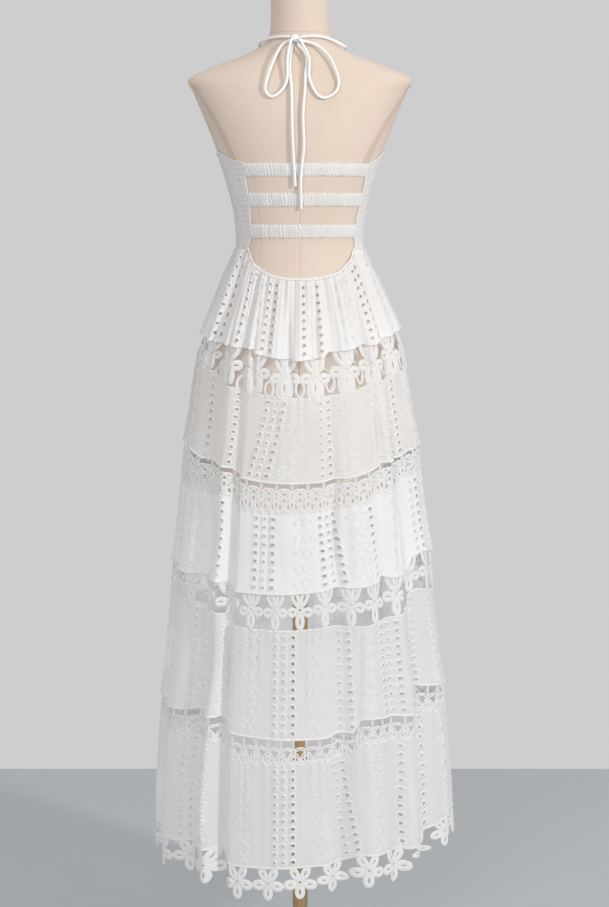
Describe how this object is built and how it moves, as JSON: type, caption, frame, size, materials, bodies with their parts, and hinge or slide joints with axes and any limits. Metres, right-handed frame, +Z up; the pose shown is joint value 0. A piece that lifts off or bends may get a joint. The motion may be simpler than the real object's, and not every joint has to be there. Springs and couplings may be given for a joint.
{
  "type": "maxi dress on a dress form",
  "caption": "Tiered white cutwork halter maxi dress with lace insertions, an open strapped back and a nape bow, on a limbless dress form with a pole and round base.",
  "frame": {"origin": "centre of the base's underside, on the floor and on the pole's axis", "axes": "+Z up along the pole, +Y out of the open back of the dress, +X towards the wearer's left"},
  "size_m": [0.5379, 0.426, 1.73],
  "materials": {
    "white_cotton": "matt embroidered cotton voile",
    "white_lace": "matt cotton lace",
    "white_shirring": "shirred and smocked elastic cotton",
    "white_rouleau": "stitched rouleau cord",
    "beige_linen": "close linen cover",
    "brass_pole": "polished tube",
    "base_paint": "satin paint"
  },
  "bodies": {
    "root": {"back_casing": "white_shirring", "back_strap_1": "white_shirring", "back_strap_2": "white_shirring", "back_strap_3": "white_shirring", "bodice_front": "white_cotton", "bodice_side_left": "white_shirring", "bodice_side_right": "white_shirring", "bow_knot": "white_rouleau", "bow_loop_left": "white_rouleau", "bow_loop_right": "white_rouleau", "form_torso": "beige_linen", "lace_1_back": "white_lace", "lace_1_front": "white_lace", "lace_2_back": "white_lace", "lace_2_front": "white_lace", "lace_3_back": "white_lace", "lace_3_front": "white_lace", "lace_4_back": "white_lace", "lace_4_front": "white_lace", "lace_5_back": "white_lace", "lace_5_front": "white_lace", "neck_tie_left": "white_rouleau", "neck_tie_right": "white_rouleau", "stand_base": "base_paint", "stand_pole": "brass_pole", "tie_end_left": "white_rouleau", "tie_end_right": "white_rouleau", "tier_1_back": "white_cotton", "tier_1_front": "white_cotton", "tier_2_back": "white_cotton", "tier_2_front": "white_cotton", "tier_3_back": "white_cotton", "tier_3_front": "white_cotton", "tier_4_back": "white_cotton", "tier_4_front": "white_cotton", "tier_5_back": "white_cotton", "tier_5_front": "white_cotton"}
  },
  "joints": []
}
